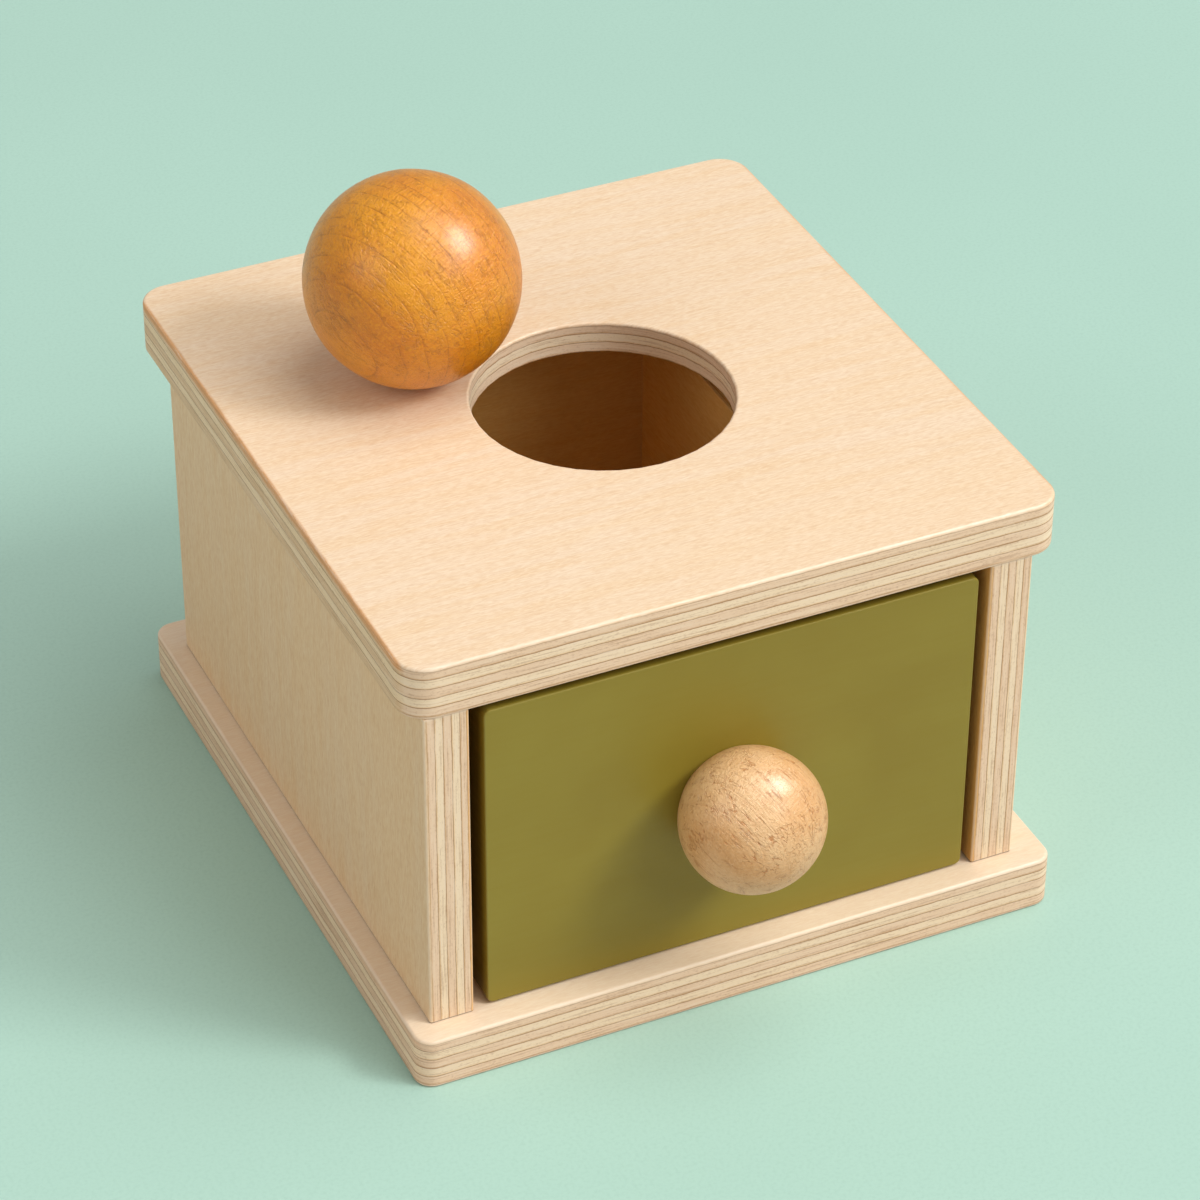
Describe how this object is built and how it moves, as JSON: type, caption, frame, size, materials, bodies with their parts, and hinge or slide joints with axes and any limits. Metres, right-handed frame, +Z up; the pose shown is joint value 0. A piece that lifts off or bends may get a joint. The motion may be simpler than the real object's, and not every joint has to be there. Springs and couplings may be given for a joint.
{
  "type": "object permanence box",
  "caption": "Plywood toy box with a round drop hole in its top, a pull-out drawer with a ball knob, and a loose wooden ball.",
  "frame": {"origin": "centre of the base plate's underside, on the surface the box stands on", "axes": "+Z up, +X to the right seen from the drawer's side, -Y the way the drawer opens"},
  "size_m": [0.144, 0.174, 0.1451],
  "materials": {
    "birch_plywood": "clear satin over birch plywood, its plies bare at the edges",
    "olive_paint": "matt olive green paint on plywood",
    "knob_beech": "clear satin beech",
    "ball_wood": "honey-coloured satin varnish on turned wood",
    "dowel_beech": "bare beech",
    "screw_steel": "bright zinc plated"
  },
  "bodies": {
    "case": {"base_plate": "birch_plywood", "left_side_panel": "birch_plywood", "right_side_panel": "birch_plywood", "back_panel": "birch_plywood", "top_plate": "birch_plywood", "left_guide_rail": "birch_plywood", "right_guide_rail": "birch_plywood", "top_dowels": "dowel_beech", "back_dowels": "dowel_beech", "base_screws": "screw_steel"},
    "drawer": {"drawer_front": "olive_paint", "drawer_left_side": "birch_plywood", "drawer_right_side": "birch_plywood", "drawer_back": "birch_plywood", "drawer_bottom": "birch_plywood", "drawer_front_dowels": "dowel_beech", "drawer_back_dowels": "dowel_beech", "knob": "knob_beech", "knob_screw": "screw_steel"},
    "ball": {"ball": "ball_wood"}
  },
  "joints": [
    {"name": "drawer_slide", "type": "slide", "parent": "case", "child": "drawer", "axis": [0, -1, 0], "range_m": [0, 0.1]},
    {"name": "ball_lift", "type": "slide", "parent": "case", "child": "ball", "axis": [0, 0, 1], "range_m": [0, 0.08]}
  ]
}
